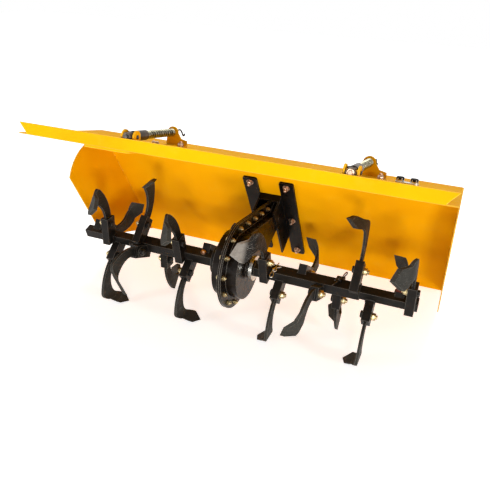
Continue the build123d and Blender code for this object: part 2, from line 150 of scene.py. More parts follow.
def piece(name, patches, body, material, smooth=40):
    """One object from several closed patches in millimetres. Its faces point outward, and its edges stay
    sharp where they turn by more than the angle smooth."""
    points, faces, start = [], [], 0
    for p, f in patches:
        points.append(p)
        faces += [[i + start for i in face] for face in f]
        start += len(p)
    mesh = bpy.data.meshes.new(name)
    mesh.from_pydata((np.concatenate(points) / 1000).tolist(), [], faces)
    mesh.validate()
    obj = bpy.data.objects.new(name, mesh)
    bpy.context.scene.collection.objects.link(obj)
    bpy.context.view_layer.objects.active = obj
    obj.select_set(True)
    bpy.ops.object.mode_set(mode="EDIT")
    bpy.ops.mesh.select_all(action="SELECT")
    bpy.ops.mesh.normals_make_consistent(inside=False)
    bpy.ops.object.mode_set(mode="OBJECT")
    obj.select_set(False)
    mesh.shade_smooth()
    mesh.set_sharp_from_angle(angle=np.radians(smooth))
    mesh.materials.append(material)
    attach(obj, body)
    return obj


def turned(profile, sides, across=None):
    """A profile of (radius, height) turned about Z: radius times cos and sin of the angle, and the height.
    Where across is given, six flats cut the radius down to across / 2 / cos(angle off the flat's middle),
    so that chamfers come out round."""
    angle = np.arange(sides) * 2 * np.pi / sides
    profile = np.array(profile, float)
    radius = np.repeat(profile[:, :1], sides, 1)
    if across:
        off_flat = (angle + np.pi / 6) % (np.pi / 3) - np.pi / 6
        radius = np.minimum(radius, across / 2 / np.cos(off_flat))
    height = np.repeat(profile[:, 1:], sides, 1)
    return skin(np.stack([radius * np.cos(angle), radius * np.sin(angle), height], -1))


def nut(across, thick, stands=0.0):
    """A hexagon nut with chamfered corners and, where wanted, the thread's end standing out of it. The
    circles of its faces and its thread are 0.95 and 0.62 of the distance across the flats."""
    corner = across / 2 / np.cos(np.pi / 6)
    face = across * 0.475
    patches = [turned([(face, 0), (corner, thick * 0.12), (corner, thick * 0.86), (face, thick)], 12, across)]
    if stands:
        bolt, foot = across * 0.31, thick - 1
        patches.append(turned([(bolt, foot), (bolt, foot + stands), (bolt - 1, thick + stands)], 12))
    return patches


def screw(place, across, thick, stands=0.0, washer_radius=0.0, washer_thick=0.0):
    """A washer and a nut or head on it at one place, with local Z along the screw."""
    patches = []
    if washer_radius:
        patches.append(placed(turned([(washer_radius, 0), (washer_radius, washer_thick)], 16), place))
        place = place @ shift(0, 0, washer_thick)
    return patches + [placed(p, place) for p in nut(across, thick, stands)]


def tube(path, radius, aside, up, sides):
    """A round section carried along a path: its radius times cos(angle) aside plus sin(angle) up."""
    angle = np.arange(sides) * 2 * np.pi / sides
    ring = np.cos(angle)[None, :, None] * aside[:, None] + np.sin(angle)[None, :, None] * up[:, None]
    return skin(path[:, None] + radius * ring)


def direction_of(path):
    """The unit tangents of a path of points."""
    along = np.gradient(path, axis=0)
    return along / np.linalg.norm(along, axis=1)[:, None]


def wire(path, radius, flat, sides=8):
    """A round wire along a path that lies about in one plane, whose normal is flat: its section's two axes
    are the cross products of the path's direction with flat, and of that with the direction."""
    path = np.array(path, float)
    along = direction_of(path)
    flat = np.broadcast_to(np.array(flat, float), path.shape)
    aside = np.cross(along, flat)
    aside /= np.linalg.norm(aside, axis=1)[:, None]
    return tube(path, radius, aside, np.cross(aside, along), sides)


def smooth_path(corners, count):
    """A rounded line through corners (Catmull-Rom): each stretch is a cubic that leaves and reaches a corner
    in the direction from the corner before it to the corner after it."""
    p = np.array(corners, float)
    p = np.concatenate([2 * p[:1] - p[1:2], p, 2 * p[-1:] - p[-2:-1]])
    t = np.linspace(0, len(p) - 3 - 1e-6, count)
    i = t.astype(int)
    s = (t - i)[:, None]
    a, b, c, d = p[i], p[i + 1], p[i + 2], p[i + 3]
    square, cube = 2 * a - 5 * b + 4 * c - d, 3 * b - a - 3 * c + d
    return 0.5 * (2 * b + (c - a) * s + square * s ** 2 + cube * s ** 3)


# ---- finishes --------------------------------------------------------------------------------------
def linear(code):
    """An sRGB hex colour as linear RGBA."""
    c = np.array([int(code[i:i + 2], 16) for i in (1, 3, 5)]) / 255
    c = np.where(c <= 0.04045, c / 12.92, ((c + 0.055) / 1.055) ** 2.4)
    return (*c.tolist(), 1.0)


def feed(tree, node, **links):
    """Links outputs to a node's sockets, which are named, or numbered as in in6. A node given as a link
    stands for its first output."""
    for key, output in links.items():
        number = key.removeprefix("in")
        socket = node.inputs[int(number) if number.isdigit() else key.replace("_", " ")]
        tree.links.new(output.outputs[0] if isinstance(output, bpy.types.Node) else output, socket)
    return node


def add(tree, kind, settings=None, **links):
    """Adds a shader node. Settings are its properties, values of its sockets by name or number, or a ramp's
    stops as (position, colour or grey); links feed its sockets."""
    made = tree.nodes.new("ShaderNode" + kind)
    for key, value in (settings or {}).items():
        if key == "stops":
            elements = made.color_ramp.elements
            while len(elements) < len(value):
                elements.new(0.5)
            for element, (position, shade) in zip(elements, value):
                element.position = position
                element.color = shade if isinstance(shade, tuple) else (shade, shade, shade, 1.0)
        elif isinstance(key, str) and hasattr(made, key):
            setattr(made, key, value)
        else:
            made.inputs[key].default_value = value
    return feed(tree, made, **links)


def fresh(name, metallic=0.0, rough=0.5):
    """A new material, its tree, its shader, and the object's own coordinates in metres."""
    material = bpy.data.materials.new(name)
    material.use_nodes = True
    tree = material.node_tree
    shader = tree.nodes["Principled BSDF"]
    shader.inputs["Metallic"].default_value = metallic
    shader.inputs["Roughness"].default_value = rough
    return material, tree, shader, add(tree, "TexCoord").outputs["Object"]


def per_metre(size):
    """The scale at which a pattern's marks are so many millimetres across."""
    return 1000 / size


def edges_lit(tree, edge, colour, edge_highlight, share):
    """Paints a highlight near edges: lightens a colour where the rounded normal leaves the face's own."""
    own = add(tree, "NewGeometry").outputs["Normal"]
    alike = add(tree, "VectorMath", {"operation": "DOT_PRODUCT"}, in0=edge, in1=own).outputs["Value"]
    near = add(tree, "MapRange", {"From Min": 0.98, "From Max": 0.80, "To Max": share}, Value=alike)
    return add(tree, "Mix", {"data_type": "RGBA", 7: linear(edge_highlight)}, in0=near, in6=colour).outputs[2]


def relief(tree, shader, radius, *layers):
    """Breaks every edge by a small radius, which gives sheared and sawn edges their glint, and lays on it
    reliefs of (height, metres). Returns the normal of the edges alone."""
    edge = normal = add(tree, "Bevel", {"Radius": radius, "samples": 6})
    for height, distance in layers:
        normal = add(tree, "Bump", {"Distance": distance}, Height=height, Normal=normal)
    feed(tree, shader, Normal=normal)
    return edge


def from_axis(tree, where):
    """The distance from the rotor's axis in metres."""
    off_axis = (0, -axis_place[1] / 1000, -axis_place[2] / 1000)
    centred = add(tree, "Mapping", {"Location": off_axis}, Vector=where)
    flat = add(tree, "VectorMath", {"operation": "MULTIPLY", 1: (0, 1, 1)}, in0=centred)
    return add(tree, "VectorMath", {"operation": "LENGTH"}, in0=flat).outputs["Value"]


def powder_coat(name, light, deep, dust):
    """Electrostatic powder coat baked on sheet steel: even, half glossy, with a fine orange peel,
    slow drifts of depth from the coat's thickness and a thin dulling film of dust in patches."""
    material, tree, shader, where = fresh(name)
    shader.inputs["IOR"].default_value = 1.12       # the film's chalky skin reflects less than clear resin
    drift = add(tree, "TexNoise", {"Scale": per_metre(285.7), "Detail": 2, "Roughness": 0.55}, Vector=where)
    coat = add(tree, "ValToRGB", {"stops": [(0.35, linear(deep)), (0.65, linear(light))]}, Fac=drift)
    patches = add(tree, "TexNoise", {"Scale": per_metre(45.45), "Detail": 5, "Roughness": 0.65}, Vector=where)
    film = add(tree, "ValToRGB", {"stops": [(0.55, 0.0), (0.8, 0.35)]}, Fac=patches)
    dusty = add(tree, "Mix", {"data_type": "RGBA", 7: linear(dust)}, in0=film, in6=coat).outputs[2]
    cloudy = add(tree, "TexNoise", {"Scale": per_metre(25), "Detail": 4, "Roughness": 0.55}, Vector=where)
    gloss = add(tree, "ValToRGB", {"stops": [(0.3, 0.54), (0.75, 0.68)]}, Fac=cloudy)
    # real orange peel is about 2 mm across, drawn at 4 mm so that it holds together from a distance
    peel = add(tree, "TexNoise", {"Scale": per_metre(4), "Detail": 1, "Roughness": 0.55}, Vector=where)
    waves = add(tree, "TexNoise", {"Scale": per_metre(111.1), "Detail": 2, "Roughness": 0.55}, Vector=where)
    edge = relief(tree, shader, 0.0036, (peel, 0.00012), (waves, 0.0006))
    # a pale yellow painted highlight along the edges and folds
    feed(tree, shader, Base_Color=edges_lit(tree, edge, dusty, "#ffe070", 0.65), Roughness=gloss)
    return material


def machine_paint(name, light, deep, dust, rough, ior=1.22, skin_height=0.0005, dusty=0.4, edge_highlight=0.4):
    """Air-dried enamel sprayed on welded steel: satin, a little brown, with dusty patches and uneven gloss. dusty
    is the largest share of dust in the patches, and the last argument the largest share of a painted highlight at
    the edges."""
    material, tree, shader, where = fresh(name)
    shader.inputs["IOR"].default_value = ior        # clean enamel has 1.5, and dust dulls it
    depth = add(tree, "TexNoise", {"Scale": per_metre(71.43), "Detail": 4, "Roughness": 0.55}, Vector=where)
    enamel = add(tree, "ValToRGB", {"stops": [(0.3, linear(deep)), (0.7, linear(light))]}, Fac=depth)
    patches = add(tree, "TexNoise", {"Scale": per_metre(30.3), "Detail": 6, "Roughness": 0.7}, Vector=where)
    film = add(tree, "ValToRGB", {"stops": [(0.52, 0.0), (0.78, dusty)]}, Fac=patches)
    colour = add(tree, "Mix", {"data_type": "RGBA", 7: linear(dust)}, in0=film, in6=enamel).outputs[2]
    runs = add(tree, "TexNoise", {"Scale": per_metre(38.46), "Detail": 4, "Roughness": 0.55}, Vector=where)
    gloss = add(tree, "ValToRGB", {"stops": [(0.3, rough - 0.08), (0.7, rough + 0.14)]}, Fac=runs)
    # spray grain is under 1 mm, drawn at 5.6 mm because a finer one doesn't show
    grain = add(tree, "TexNoise", {"Scale": per_metre(5.556), "Detail": 2, "Roughness": 0.55}, Vector=where)
    waves = add(tree, "TexNoise", {"Scale": per_metre(33.33), "Detail": 3, "Roughness": 0.55}, Vector=where)
    edge = relief(tree, shader, 0.003, (grain, 0.00012), (waves, skin_height))
    # a warm grey painted highlight along the edges, standing in for their glint
    feed(tree, shader, Base_Color=edges_lit(tree, edge, colour, "#7b746a", edge_highlight), Roughness=gloss)
    return material


def blade_finish(name, light, deep, scratch, rubbed_and_lit, rubbed_and_lit_share, wing_side_of=None):
    """Hardened spring-steel blades, dip painted after forging: black shanks that turn matt grey towards the wings,
    where the thin paint rubbed off, with scale mottling and long fine scratches. A wing's grey can also carry
    painted light, for a face lit face-on."""
    material, tree, shader, where = fresh(name)
    shader.inputs["IOR"].default_value = 1.22       # thin matt dip paint
    mottle = add(tree, "TexNoise", {"Scale": per_metre(55.56), "Detail": 6, "Roughness": 0.6}, Vector=where)
    dipped = add(tree, "ValToRGB", {"stops": [(0.3, linear(deep)), (0.72, linear(light))]}, Fac=mottle)
    # rubbed, and where given painted lit, from 100 mm off the rotor's axis on, and most from 190 mm on
    radius = from_axis(tree, where)
    outer = add(tree, "MapRange", {"From Min": 0.10, "From Max": 0.19, "To Max": rubbed_and_lit_share}, Value=radius)
    wear = add(tree, "TexNoise", {"Scale": per_metre(38.46), "Detail": 5, "Roughness": 0.65}, Vector=where)
    patchy = add(tree, "ValToRGB", {"stops": [(0.3, 0.55), (0.7, 1.0)]}, Fac=wear)
    share = add(tree, "Math", {"operation": "MULTIPLY"}, in0=outer, in1=patchy)
    if wing_side_of:
        # only the wing is rubbed and painted lit: it lies beside the shank, which stands at this place along the
        # rotor
        along = add(tree, "SeparateXYZ", Vector=where).outputs["X"]
        reach = {"From Min": wing_side_of - 0.012, "From Max": wing_side_of - 0.024}
        wing = add(tree, "MapRange", reach, Value=along)
        share = add(tree, "Math", {"operation": "MULTIPLY"}, in0=share, in1=wing)
    bare_and_lit = add(tree, "Mix", {"data_type": "RGBA", 7: linear(rubbed_and_lit)}, in0=share, in6=dipped).outputs[2]
    # 200 mm divided by 30, 6 and 240: scratches 33 mm long and really 0.2 mm wide, drawn at 0.8 mm to show
    drawn = add(tree, "Mapping", {"Scale": (30, 6, 240)}, Vector=where)
    lines = add(tree, "TexNoise", {"Scale": per_metre(200), "Detail": 3, "Roughness": 0.6}, Vector=drawn)
    marks = add(tree, "ValToRGB", {"stops": [(0.6, 0.0), (0.7, 0.6)]}, Fac=lines)
    colour = add(tree, "Mix", {"data_type": "RGBA", 7: linear(scratch)}, in0=marks, in6=bare_and_lit).outputs[2]
    cloudy = add(tree, "TexNoise", {"Scale": per_metre(22.22), "Detail": 5, "Roughness": 0.55}, Vector=where)
    gloss = add(tree, "ValToRGB", {"stops": [(0.3, 0.42), (0.72, 0.7)]}, Fac=cloudy)
    scale = add(tree, "TexNoise", {"Scale": per_metre(7.692), "Detail": 4, "Roughness": 0.55}, Vector=where)
    edge = relief(tree, shader, 0.0024, (scale, 0.0002), (lines, 0.0002))
    # a light grey painted highlight along the blades' edges
    feed(tree, shader, Base_Color=edges_lit(tree, edge, colour, "#8f8b82", 0.5), Roughness=gloss)
    return material


def plated(name, light, deep, rough, blush=None):
    """Electroplated steel: metal whose colour drifts a little over its turned or rolled surface,
    with a passivation blush where given."""
    material, tree, shader, where = fresh(name, metallic=1.0)
    stops = [(0.3, linear(deep)), (0.68, linear(light))]
    if blush:
        stops.append((0.85, linear(blush)))
    drift = add(tree, "TexNoise", {"Scale": per_metre(8.333), "Detail": 3, "Roughness": 0.55}, Vector=where)
    tint = add(tree, "ValToRGB", {"stops": stops}, Fac=drift)
    cloudy = add(tree, "TexNoise", {"Scale": per_metre(3.333), "Detail": 2, "Roughness": 0.55}, Vector=where)
    gloss = add(tree, "ValToRGB", {"stops": [(0.3, rough - 0.06), (0.7, rough + 0.08)]}, Fac=cloudy)
    # the plating's own grain can't be seen: these are the turned steel's marks, drawn at 2.5 mm
    marks = add(tree, "TexNoise", {"Scale": per_metre(2.5), "Detail": 2, "Roughness": 0.55}, Vector=where)
    relief(tree, shader, 0.0008, (marks, 0.00004))
    feed(tree, shader, Base_Color=tint, Roughness=gloss)
    return material


def prime_holder(material, middle, half, colour):
    """Leaves one blade holder in its primer: all that is within half of one place along the rotor and further
    from the axis than the square tube's corners."""
    tree = material.node_tree
    shader = tree.nodes["Principled BSDF"]
    where = add(tree, "TexCoord").outputs["Object"]
    along = add(tree, "SeparateXYZ", Vector=where)
    near = add(tree, "Math", {"operation": "COMPARE", 1: middle, 2: half}, in0=along)
    beyond = add(tree, "Math", {"operation": "GREATER_THAN", 1: 0.026}, in0=from_axis(tree, where))
    share = add(tree, "Math", {"operation": "MULTIPLY"}, in0=near, in1=beyond)
    painted = shader.inputs["Base Color"].links[0].from_socket
    mixed = add(tree, "Mix", {"data_type": "RGBA", 7: linear(colour)}, in0=share, in6=painted)
    feed(tree, shader, Base_Color=mixed.outputs[2])


# golden yellow, a little deeper in slow drifts
yellow = powder_coat("yellow_powder_coat", "#f2ae00", "#eaa200", "#eab12c")
# sprayed on sawn tube: a brownish black with a painted grey highlight along its edges
ROTOR_BLACK = ("#1a1714", "#0e0c0a", "#38312a", 0.33)
black = machine_paint("black_enamel_sprayed", *ROTOR_BLACK, edge_highlight=0.55)
# sprayed on rolled bar, with hardly any dust: the deepest black
BAR_BLACK = ("#0c0907", "#060403", "#1d160f", 0.3)
bar_black = machine_paint("black_enamel_on_flat_bar", *BAR_BLACK, ior=1.18, dusty=0.2)
# sprayed thick on a smooth casting: browner and glossier, with a strong painted highlight along its edges
CASE_BLACK = ("#17100a", "#0b0705", "#2b1e13", 0.22)
case_black = machine_paint(
    "brown_black_enamel_on_casting", *CASE_BLACK, skin_height=0.0002, dusty=0.3, edge_highlight=0.9)
# dip paint on forged blades: near black, and dark grey where soil rubbed it
blades = blade_finish("dip_painted_spring_steel", "#1b1815", "#0d0b09", "#77746d", "#3d3b35", 0.62)
# the blade beside the case, whose wing is painted a light grey: rubbed steel, and painted light for its face lit
# face-on, with pale scratches
RUBBED_AND_LIT = ("#24211e", "#13110f", "#c3bdb2", "#8f8981", 1.0)
rubbed_and_lit_blades = blade_finish("rubbed_and_lit_spring_steel", *RUBBED_AND_LIT, wing_side_of=BLADE_X["right_1"] / 1000)
# thin paint on turned sleeves: brownish, because the steel shows through
sleeve_paint = machine_paint("dark_enamel_turned_tube", "#5e4c38", "#33281c", "#8a7658", 0.34, ior=1.3)
# yellow-passivated zinc on pressed nuts: pale gold with a pink blush
gold_zinc = plated("yellow_passivated_zinc", "#c9b98f", "#7d6a45", 0.34, "#bf9a7e")
# clear-passivated zinc on turned and bent steel: bright and nearly white
bright_zinc = plated("clear_passivated_zinc", "#dcdad4", "#a9a59c", 0.26)
# bronzed zinc on bolts: a soft copper shine
copper_zinc = plated("bronzed_zinc", "#d8b9a0", "#80604b", 0.3)
# zinc on drawn spring wire: smooth, a little green and dull
spring_zinc = plated("zinc_plated_spring_wire", "#b9b59c", "#6f6a55", 0.24)
# blackened drawn wire: a dark grey with a broad, weak shine
dark_steel = plated("blackened_steel_wire", "#5c5752", "#2e2a27", 0.38)
# the right extension tube: black like the other tubes, with one holder in dull red primer
black_and_primer = machine_paint("black_enamel_and_red_primer", *ROTOR_BLACK, edge_highlight=0.55)
prime_holder(black_and_primer, BLADE_X["right_8"] / 1000, 0.016, "#4e1f12")

FINISHES = {
    "yellow_paint": yellow, "black_paint": black, "blade_steel": blades, "bright_steel": bright_zinc,
    "spring_steel": spring_zinc, "dark_sleeve": sleeve_paint,
}
OWN_FINISHES = {
    "chain_case": case_black, "drive_neck": case_black, "mounting_bar": bar_black, "case_bracket": bar_black,
    "blade_right_1": rubbed_and_lit_blades, "outer_tube_right": black_and_primer,
}
for part in frame["record"]["subparts"]:
    own = [finish for start, finish in OWN_FINISHES.items() if part["node"].startswith(start)]
    slots = nodes[part["node"]].data.materials
    slots.clear()
    slots.append(own[0] if own else FINISHES[part["material_slot"]])

# ---- fasteners ---------------------------------------------------------------------------------------
# across the flats, thickness, what stands out of the nut, the washer's radius and its thickness
BLADE_NUT = (19.0, 10.0, 5.0, 12.5, 2.0)
BLADE_HEAD = (19.0, 7.5)
WIDE_BLADE_NUT = (19.0, 10.0, 5.0, 17.0, 3.0)
CASE_NUT = (13.0, 6.5, 3.5, 8.5, 1.6)
CASE_HEAD = (13.0, 5.5, 0.0, 8.5, 1.6)
BAR_NUT = (16.0, 8.0, 8.0, 12.5, 1.6)
BAR_HEAD = (17.0, 7.0, 0.0, 12.0, 2.0)
STRUT_NUT = (19.5, 12.6, 4.0)
TOWER_NUT = (15.0, 8.0, 5.0, 10.0, 2.0)
TOP_SCREW = (10.0, 5.0, 2.0, 6.5, 1.2)
LOCK_BOLT = (15.0, 5.0, 2.0, 9.5, 1.5)

# ---- blade bolts -------------------------------------------------------------------------------------
# a plated nut on the side away from the case, save for right_9's, and a black head on the other side
BLADE_BOLT = 56.0            # along the shank
heads = []
for name, share, direction in BLADES:
    side = -np.sign(share) if name == "right_9" else np.sign(share)
    middle = on_rotor(BLADE_X[name], direction) @ shift(0, -SHANK_OFFSET, BLADE_BOLT)
    near = middle @ facing(side) @ shift(0, 0, SOCKET_WIDE / 2)
    far = middle @ facing(-side) @ shift(0, 0, SOCKET_WIDE / 2)
    if name == "left_7":
        # this one is a blackened bolt with a wide washer, put in the other way round
        heads += screw(far, *WIDE_BLADE_NUT) + screw(near, *BLADE_HEAD)
        continue
    piece("blade_bolt_" + name, screw(near, *BLADE_NUT), "rotor", gold_zinc)
    heads += screw(far, *BLADE_HEAD)
piece("blade_bolt_heads", heads, "rotor", black)

# ---- chain case bolts ----------------------------------------------------------------------------------
# evenly along a line inside the flange's edge, except where the back panel is near
BOLT_INSET, BOLT_STEP, PANEL_NEAR = 16.0, 58.0, 22.0
FIRST_BOLT = 10              # the first bolt's place among the points of the line


def case_line(inset, count=720):
    """Points evenly along the case's outline, moved inward: two arcs joined by their outer tangents. Each
    arc ends where its radius stands square on the tangents. Also returns the line's length."""
    big, small = CASE_ROUND - inset, CASE_END - inset
    reach = np.hypot(CASE_Y, CASE_Z)
    tilt = np.arctan2(CASE_Z, CASE_Y)
    spread = np.arcsin((big - small) / reach)
    large = np.linspace(tilt + np.pi / 2 - spread, tilt + 3 * np.pi / 2 + spread, 241)
    little = np.linspace(tilt - np.pi / 2 + spread, tilt + np.pi / 2 - spread, 121)
    ring = np.concatenate([
        np.stack([big * np.cos(large), big * np.sin(large)], -1),
        np.stack([CASE_Y + small * np.cos(little), CASE_Z + small * np.sin(little)], -1),
    ])
    ring = np.concatenate([ring, ring[:1]])
    length = np.concatenate([[0], np.cumsum(np.linalg.norm(np.diff(ring, axis=0), axis=1))])
    even = np.linspace(0, length[-1], count, endpoint=False)
    points = np.stack([np.interp(even, length, ring[:, 0]), np.interp(even, length, ring[:, 1])], -1)
    return points, length[-1]


line, around = case_line(BOLT_INSET)
bolt_count = int(round(around / BOLT_STEP))
spots = line[(np.arange(bolt_count) * len(line) / bolt_count + FIRST_BOLT).astype(int)]
to_panel = PANEL_AWAY - (-spots[:, 0] * down_panel[1] + spots[:, 1] * down_panel[0])
nuts, heads = [], []
for y, z in spots[to_panel > PANEL_NEAR]:
    nuts += screw(MACHINE @ shift(FLANGE_THICK, y, z) @ facing(1), *CASE_NUT)
    heads += screw(MACHINE @ shift(-FLANGE_THICK, y, z) @ facing(-1), *CASE_HEAD)
piece("case_flange_nuts", nuts, "hood", gold_zinc)
piece("case_flange_bolts", heads, "hood", gold_zinc)

# ---- bolts through the mounting bars, with their nuts on the rotor's side ----------------------------
BAR_BOLTS = (20.0, 203.0, BAR_LENGTH - 28)
for half, side in (("left", -1), ("right", 1)):
    patches = []
    for along in BAR_BOLTS:
        x, down = side * BAR_MIDDLE, DRIVE_DOWN - BAR_RISE + along
        patches += screw(on_panel(x, down, -BAR_THICK) @ turn_about(0, 180), *BAR_NUT)
        patches += screw(on_panel(x, down, SHEET), *BAR_HEAD)
    piece("mounting_bar_bolts_" + half, patches, "hood", copper_zinc)

# ---- the struts' springs and rods --------------------------------------------------------------------
SPRING_WIRE, SPRING_RADIUS, SPRING_PITCH, SPRING_START, SPRING_GAP = 5.4, 12.0, 13.0, 76.3, 0.5
ROD_RADIUS, ROD_OVERLAP = 5.4, 4.0


def spring(start, end, radius, wire_radius, pitch, per_turn=14, sides=6):
    """A helix of round wire: its radius times cos and sin of the angle, and a height that grows at 0.3 of the
    usual rate over the first and last turn, which closes them."""
    turns = (end - start) / pitch + 1.5
    t = np.linspace(0, turns, int(turns * per_turn))
    rate = np.interp(t, [0, 0.9, 1.5, turns - 1.5, turns - 0.9, turns], [0.3, 0.3, 1, 1, 0.3, 0.3])
    height = np.concatenate([[0], np.cumsum((rate[1:] + rate[:-1]) / 2)])
    height = start + wire_radius + height / height[-1] * (end - start - 2 * wire_radius)
    angle = 2 * np.pi * t
    outward = np.stack([np.cos(angle), np.sin(angle), 0 * angle], -1)
    path = (radius - wire_radius) * outward + np.stack([0 * t, 0 * t, height], -1)
    return tube(path, wire_radius, outward, np.cross(direction_of(path), outward), sides)


for half in STRUTS:
    wound = spring(SPRING_START, STRUT_RUN - SPRING_GAP, SPRING_RADIUS, SPRING_WIRE / 2, SPRING_PITCH)
    coil = piece("strut_coil_" + half, [placed(wound, on_strut(half, 0))], "hood", spring_zinc)
    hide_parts("strut_spring_" + half)
    # the rod inside the coil is black, so that the gaps between the coils show dark bands: painted shade inside
    # the spring
    rod = turned([(ROD_RADIUS, SPRING_START - ROD_OVERLAP), (ROD_RADIUS, STRUT_RUN - SPRING_GAP)], 12)
    piece("strut_rod_end_" + half, [placed(rod, on_strut(half, 0))], "hood", black)

# nuts on the rods' front ends, over the block between the pins
ROD_FRONT = -22.4
for half in STRUTS:
    place = on_strut(half, ROD_FRONT) @ turn_about(0, 180) @ shift(0, 0, -STRUT_NUT[1])
    finish = dark_steel if half == "left" else copper_zinc
    piece("strut_front_nut_" + half, screw(place, *STRUT_NUT), "hood", finish)

# ---- foot bolts, pins and clips of the struts --------------------------------------------------------
TOWER_BOLT = (38.0, -14.0, 4.0)                    # from the tower: sideways, back and up
PIN_HEAD = [(5.4, 0), (5.4, 2.2), (4.2, 3.2)]      # radius and height
PIN_RING_BACK, PIN_RING_WIRE = 4.0, 1.7
HOOK_ASIDE, HOOK_BACK, HOOK_WIRE = 13.0, 5.0, 2.4
PIN_RING = smooth_path([(-15, 2, 6), (-11, 3, 10), (-3, 3, 10), (2, 2, 5), (-2, 0, 1)], 30)
TOWER_HOOK = smooth_path(
    [(0, -2, 0), (0, 6, 8), (0, 18, 9), (0, 30, 2), (0, 40, -8), (0, 48, -9), (0, 50, -3)], 36)
for half, x in STRUTS.items():
    bolt = on_top(x + TOWER_BOLT[0], TOWER_BACK + TOWER_BOLT[1], TOWER_BOLT[2])
    piece("tower_bolt_" + half, screw(bolt, *TOWER_NUT), "hood", copper_zinc)
    pins = []
    for side in (-1, 1):
        spot = on_top(x + side * (LUG_GAP / 2 + LUG_THICK), PIN_BACK, PIN_HEIGHT) @ facing(side)
        pins.append(placed(turned(PIN_HEAD, 16), spot))
    between = on_top(x, PIN_BACK + PIN_RING_BACK, PIN_HEIGHT)
    pins.append(placed(wire(PIN_RING, PIN_RING_WIRE, (0, 1, 0)), between))
    piece("clevis_pins_" + half, pins, "hood", dark_steel)
    foot = on_top(x + HOOK_ASIDE, TOWER_BACK + HOOK_BACK, TOWER_HEIGHT)
    hook = placed(wire(TOWER_HOOK, HOOK_WIRE, (1, 0, 0)), foot)
    piece("tower_clip_" + half, [hook], "hood", black)

# ---- small things on and under the top panel ---------------------------------------------------------
SCREW_X, SCREW_BACK = (-311.0, -298.0), 257.0
patches = []
for x in SCREW_X:
    patches += screw(on_top(x, SCREW_BACK, 0), *TOP_SCREW)
piece("top_panel_screws", patches, "hood", copper_zinc)

LINK_CAP = [(10.4, -5), (10.4, 2), (8.4, 4)]       # radius and height
caps = []
for side in (-1, 1):
    caps.append(placed(turned(LINK_CAP, 16), on_top(LINK_MIDDLE + side * LINK_BOLT, LINK_BACK, LINK_TOP)))
piece("link_bolt_caps", caps, "hood", black)

# a doubler plate under the panel: its outline is a superellipse, |x|^8 + |y|^8 = 1, its lower edge broken
DOUBLER_X, DOUBLER_BACK, DOUBLER_WIDE, DOUBLER_DEEP, DOUBLER_THICK = -320.0, 69.0, 150.0, 120.0, 8.0
CORNER_POWER = 8
angle = np.linspace(0, 2 * np.pi, 64, endpoint=False)
c, s = np.cos(angle), np.sin(angle)
reach = (np.abs(c) ** CORNER_POWER + np.abs(s) ** CORNER_POWER) ** (-1 / CORNER_POWER)
outline = np.stack([c * reach * DOUBLER_WIDE / 2, s * reach * DOUBLER_DEEP / 2, 0 * c], -1)
rings = [outline * (0.985, 0.985, 1), outline + (0, 0, 0.8), outline + (0, 0, DOUBLER_THICK)]
plate = skin(np.stack(rings))
under = on_top(DOUBLER_X, DOUBLER_BACK, -SHEET - DOUBLER_THICK)
piece("top_panel_doubler_left", [placed(plate, under)], "hood", yellow)

# ---- the rotor's pins with their clips, and its lock bolt --------------------------------------------
CLIP_SIZE, CLIP_WIRE, CLIP_RISE = 36.0, 1.9, 4.5
TUBE_PIN = [(4.5, -4), (4.5, 7), (3.6, 8)]         # radius and height
# clip, X, face of the tube, its pin's place across that face, turn, whether it lies flat, finish
CLIPS = [
    ("right_inner", 124.0, TUBE_TURN, -10.0, 258.0, True, bright_zinc),
    ("right_outer", 322.0, TUBE_TURN, 9.0, 60.0, False, dark_steel),
    ("left", -345.0, TUBE_TURN - 90, -6.0, 130.0, False, dark_steel),
]
LOCK_X = -112.0


def r_clip(size):
    """A hairpin: a straight leg, a round eye and a waved leg."""
    return smooth_path([
        (-size * 0.9, 0, 0), (-size * 0.2, 0, 0), (size * 0.5, 0, 0), (size * 0.82, 0, size * 0.14),
        (size * 0.75, 0, size * 0.34), (size * 0.5, 0, size * 0.3), (size * 0.25, 0, size * 0.1),
        (0, 0, size * 0.26), (-size * 0.25, 0, size * 0.12), (-size * 0.6, 0, size * 0.4),
    ], 48)


for name, x, direction, across, turn, flat, finish in CLIPS:
    place = on_rotor(x, direction) @ shift(0, across, TUBE_SIDE / 2)
    lie = turn_about(2, turn) @ shift(0, 0, CLIP_RISE) @ turn_about(0, -90 if flat else 0)
    clip = placed(wire(r_clip(CLIP_SIZE), CLIP_WIRE, (0, 1, 0)), place @ lie)
    piece("tube_pin_" + name, [placed(turned(TUBE_PIN, 12), place), clip], "rotor", finish)

place = on_rotor(LOCK_X, TUBE_TURN) @ shift(0, 0, TUBE_SIDE / 2)
piece("tube_lock_bolt_left", screw(place, *LOCK_BOLT), "rotor", copper_zinc)

# ---- weld beads --------------------------------------------------------------------------------------
BEAD, RIPPLE = 2.4, 4.4      # a bead's radius and the length of one drop of the electrode


def bead(path, flat=(1, 0, 0)):
    """A weld laid along a path: a wire, its radius 0.86 + 0.22 |sin| of the bead's, one wave to a drop."""
    step = np.linalg.norm(np.diff(path, axis=0), axis=1)
    run = np.concatenate([[0], np.cumsum(step)])
    swell = BEAD * (0.86 + 0.22 * np.abs(np.sin(run * np.pi / RIPPLE)))
    return wire(path, swell[:, None, None], flat, 6)


